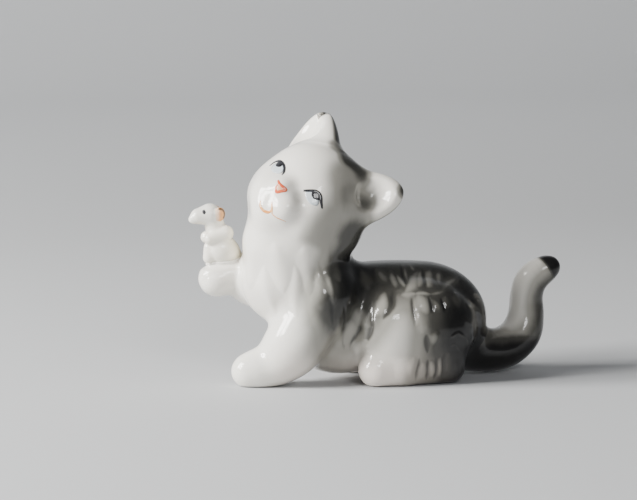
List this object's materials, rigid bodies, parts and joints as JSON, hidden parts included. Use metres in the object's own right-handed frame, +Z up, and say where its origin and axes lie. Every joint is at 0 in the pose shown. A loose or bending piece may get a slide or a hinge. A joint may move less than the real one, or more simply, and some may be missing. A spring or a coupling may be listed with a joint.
{
  "type": "ceramic cat figurine",
  "caption": "Glazed ceramic figurine of a crouching tabby kitten with a tilted face, a curled tail and a small mouse on its raised paw.",
  "frame": {"origin": "middle of the figurine's outline on the surface it stands on", "axes": "+Z up; the cat's body points towards -X with its tail at +X; its left side is towards -Y"},
  "size_m": [0.1061, 0.038, 0.074],
  "materials": {
    "tabby_glaze": "glossy clear glaze over airbrushed grey-black tabby colour on white porcelain",
    "face_glaze": "glossy clear glaze over warm white porcelain with soft grey shading",
    "paw_glaze": "glossy clear glaze over warm white porcelain",
    "mouse_glaze": "glossy clear glaze over cream white porcelain",
    "mouse_ear_enamel": "orange-brown on-glaze enamel",
    "black_enamel": "black on-glaze enamel line",
    "nose_enamel": "red-orange on-glaze enamel",
    "mouth_enamel": "thin orange on-glaze enamel line"
  },
  "bodies": {
    "root": {"torso_shell": "tabby_glaze", "head_shell": "face_glaze", "left_ear": "face_glaze", "right_ear": "face_glaze", "left_foreleg": "paw_glaze", "right_foreleg": "paw_glaze", "left_hind_leg": "tabby_glaze", "right_hind_leg": "tabby_glaze", "tail": "tabby_glaze", "mouse_body": "mouse_glaze", "mouse_head": "mouse_glaze", "mouse_left_ear": "mouse_ear_enamel", "mouse_right_ear": "mouse_ear_enamel", "left_eye_enamel": "black_enamel", "right_eye_enamel": "black_enamel", "nose_enamel": "nose_enamel", "mouth_enamel": "mouth_enamel", "mouse_left_eye": "black_enamel", "mouse_right_eye": "black_enamel"}
  },
  "joints": []
}
